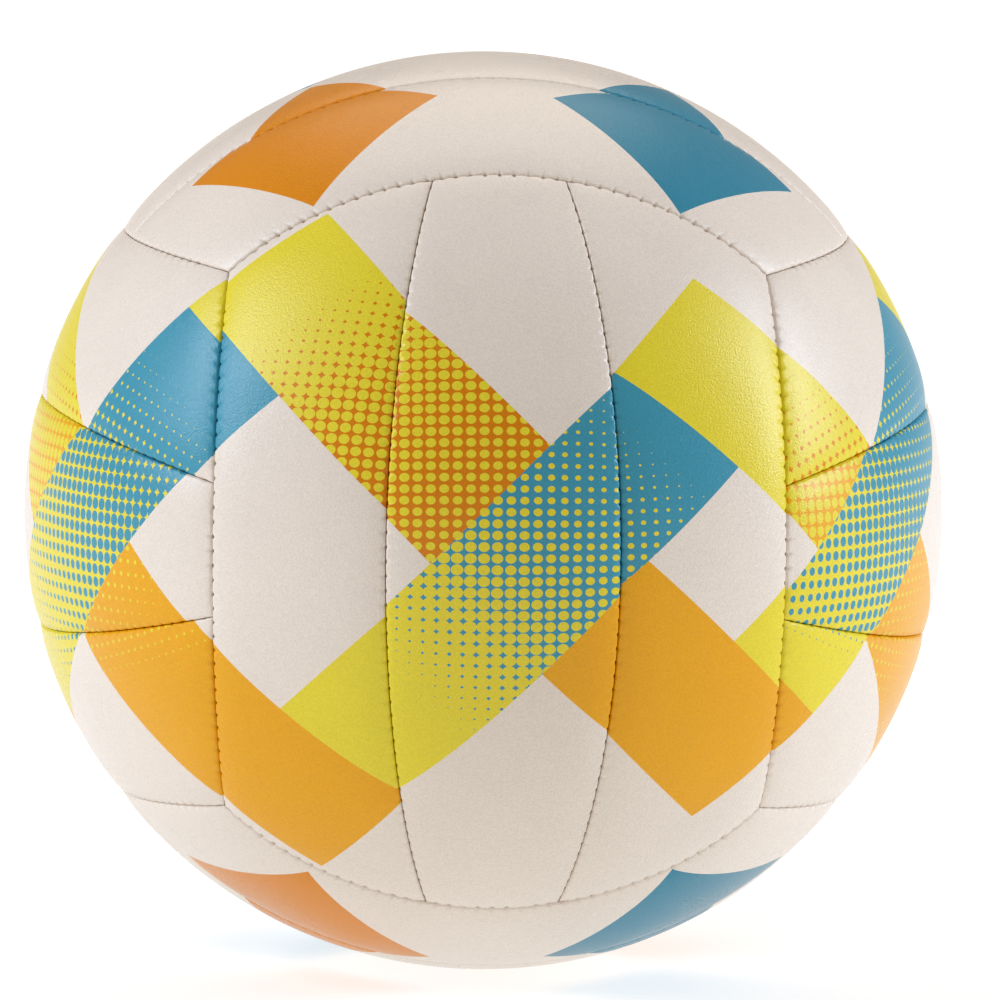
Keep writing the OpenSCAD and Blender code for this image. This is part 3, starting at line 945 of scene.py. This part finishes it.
def make_weave(name, low, high, pitch_mm):
    """Plain woven cloth, bonded flat."""
    material, tree, shader = new_material(name)
    spots = add(tree, "ShaderNodeTexCoord").outputs["Object"]
    ridges = None
    for axis in ("X", "Y", "Z"):
        wave = add(tree, "ShaderNodeTexWave",
                   {"Vector": spots, "Scale": WAVE_PITCH / (pitch_mm * MM), "Distortion": 0.6,
                    "Detail": 1}, bands_direction=axis).outputs["Fac"]
        ridges = wave if ridges is None else add(
            tree, "ShaderNodeMath", {0: ridges, 1: wave}, operation="MULTIPLY").outputs[0]
    tint = add(tree, "ShaderNodeMix", {0: ridges, 6: colour(low), 7: colour(high)},
               data_type="RGBA")
    bump = add(tree, "ShaderNodeBump", {"Height": ridges, "Strength": 0.6,
                                        "Distance": 0.15 * MM})
    fill(tree, shader, {"Base Color": tint.outputs[2], "Normal": bump.outputs[0],
                        "Roughness": 0.85, "Sheen Weight": 0.25})
    return material


LINING = make_weave("lining_weave", "#C9C0B0", "#E9E2D4", 0.7)
PATCH = make_weave("patch_weave", "#A8A296", "#CBC5B8", 0.9)
print(LINING.name, PATCH.name)

# %% [markdown]
# Moulded rubber is dull where it was cured against a blasted mould, with faint
# cloudy marks of the talc that keeps it from sticking.

# %% Rubber materials
def make_rubber(name, plain, dusty, roughness):
    """Moulded rubber with a trace of talc."""
    material, tree, shader = new_material(name)
    spots = add(tree, "ShaderNodeTexCoord").outputs["Object"]
    talc = add(tree, "ShaderNodeTexNoise", {"Vector": spots, "Scale": 1 / (6 * MM), "Detail": 5})
    tint = add(tree, "ShaderNodeMix", {0: talc.outputs[0], 6: colour(plain), 7: colour(dusty)},
               data_type="RGBA")
    blast = add(tree, "ShaderNodeTexNoise", {"Vector": spots, "Scale": 1 / (0.3 * MM), "Detail": 2})
    bump = add(tree, "ShaderNodeBump", {"Height": blast.outputs[0], "Strength": 0.4,
                                        "Distance": 0.05 * MM})
    rub = add(tree, "ShaderNodeMapRange", {0: talc.outputs[0], 3: roughness - 0.08,
                                           4: roughness + 0.1})
    fill(tree, shader, {"Base Color": tint.outputs[2], "Normal": bump.outputs[0],
                        "Roughness": rub.outputs[0]})
    return material


INNER = {
    "foam": FOAM,
    "lining": LINING,
    "bladder": make_rubber("bladder_rubber", "#29292B", "#4A4A4C", 0.6),
    "valve_housing": make_rubber("housing_rubber", "#333335", "#515153", 0.55),
    "valve_core": make_rubber("core_rubber", "#CBC4B8", "#DCD6CB", 0.5),
    "valve_patch": PATCH,
}
dressed = 0
for name, thing in nodes.items():
    for start, material in INNER.items():
        if name.startswith(start):
            thing.data.materials.clear()
            thing.data.materials.append(material)
            dressed += 1
print(dressed, "CAD nodes dressed")

# %% [markdown]
# ## Camera and light
#
# The ball is seen with a long lens from a little above and to the left, so its
# seams look almost flat. Two broad soft lamps stand at its sides and a third above
# and behind it, which leaves the front a shade darker and rounds it. The rest comes
# from the world, in bands over its height: pale below, as over a white table, a
# warm grey at the horizon, and a dark warm room above.

# %% Camera
CAMERA_PLACE, CAMERA_TURN = (-0.11648, -2.58365, 0.29482), (83.5495, -0.5997, -2.5989)
LENS_MM = 403.53
camera = new_object("camera", bpy.data.cameras.new("camera"))
camera.location = CAMERA_PLACE
camera.rotation_euler = [math.radians(angle) for angle in CAMERA_TURN]
camera.data.lens = LENS_MM
camera.data.clip_end = 20
bpy.context.scene.camera = camera
print("camera", round(camera.location.length, 2), "m away")

# %% Lamps
def soft_lamp(name, place, size, power, tint):
    """A broad lamp that faces the ball."""
    data = bpy.data.lights.new(name, "AREA")
    data.shape, data.size, data.size_y, data.energy = "RECTANGLE", *size, power
    data.color = colour(tint)[:3]
    lamp = new_object(name, data)
    lamp.location = place
    lamp.rotation_euler = (-lamp.location).to_track_quat("-Z", "Y").to_euler()
    return lamp


soft_lamp("side_lamp_left", (-1.36, -0.24, 0.78), (0.5, 0.9), 18, "#E6F0FF")
soft_lamp("side_lamp_right", (1.48, -0.1, 0.62), (0.5, 0.9), 19, "#E6F0FF")
soft_lamp("top_lamp", (0, 0.8, 1.4), (1.2, 1.2), 7, "#FFF1DE")
print("3 lamps")

# %% World
def seen_straight(tree):
    """1 for what the camera sees, also in a mirror or through glass."""
    path = add(tree, "ShaderNodeLightPath").outputs
    seen = add(tree, "ShaderNodeMath", {0: path["Is Camera Ray"], 1: path["Is Glossy Ray"]},
               operation="MAXIMUM")
    return add(tree, "ShaderNodeMath", {0: seen.outputs[0], 1: path["Is Transmission Ray"]},
               operation="MAXIMUM").outputs[0]


world = bpy.data.worlds.new("studio")
bpy.context.scene.world = world
world.use_nodes = True
sky = world.node_tree
direction = add(sky, "ShaderNodeTexCoord").outputs["Generated"]
height = add(sky, "ShaderNodeSeparateXYZ", {0: direction}).outputs["Z"]
share = add(sky, "ShaderNodeMapRange", {0: height, 1: -1, 2: 1})
bands = add(sky, "ShaderNodeValToRGB", {0: share.outputs[0]})
TABLE, TABLE_EDGE = (1, 0.98, 0.96, 1), (0.95, 0.93, 0.9, 1)
HORIZON, ROOM = (0.7, 0.63, 0.56, 1), (0.27, 0.23, 0.19, 1)
for place, tint in ((0.35, TABLE), (0.46, TABLE_EDGE), (0.475, HORIZON), (0.53, HORIZON),
                    (0.57, ROOM)):
    bands.color_ramp.elements.new(place).color = tint
bands.color_ramp.elements[0].color = TABLE
bands.color_ramp.elements[-1].color = ROOM
sky.links.new(bands.outputs[0], sky.nodes["Background"].inputs["Color"])
print("world", world.name)

# %% [markdown]
# The floor is a plain white sheet. It takes the ball's shadow, and further out it
# brightens for the camera until it meets the white background. The world's own pale
# lower half stands for the light that a real table throws back.

# %% Floor
HALF = 6.0
floor_mesh = bpy.data.meshes.new("floor")
floor_mesh.from_pydata([(-HALF, -HALF, 0), (HALF, -HALF, 0), (HALF, HALF, 0), (-HALF, HALF, 0)],
                       [], [(0, 1, 2, 3)])
floor = new_object("floor", floor_mesh)
floor.location.z = -BALL_R * MM
floor.visible_diffuse = False
white_floor, tree, shader = new_material("white_floor")
spot = add(tree, "ShaderNodeTexCoord").outputs["Object"]
away = add(tree, "ShaderNodeVectorMath", {0: spot}, operation="LENGTH")
far = add(tree, "ShaderNodeMapRange", {0: away.outputs["Value"], 1: 0.1, 2: 3, 3: 0.6, 4: 0.95})
lift = add(tree, "ShaderNodeMath", {0: seen_straight(tree), 1: far.outputs[0]},
           operation="MULTIPLY")
fill(tree, shader, {"Base Color": colour("#C4C4C4"), "Roughness": 0.9,
                    "Emission Color": colour("#FFFFFF"), "Emission Strength": lift.outputs[0]})
floor_mesh.materials.append(white_floor)
bpy.context.scene.view_settings.view_transform = "Standard"
print("floor at", round(floor.location.z, 4), "m")
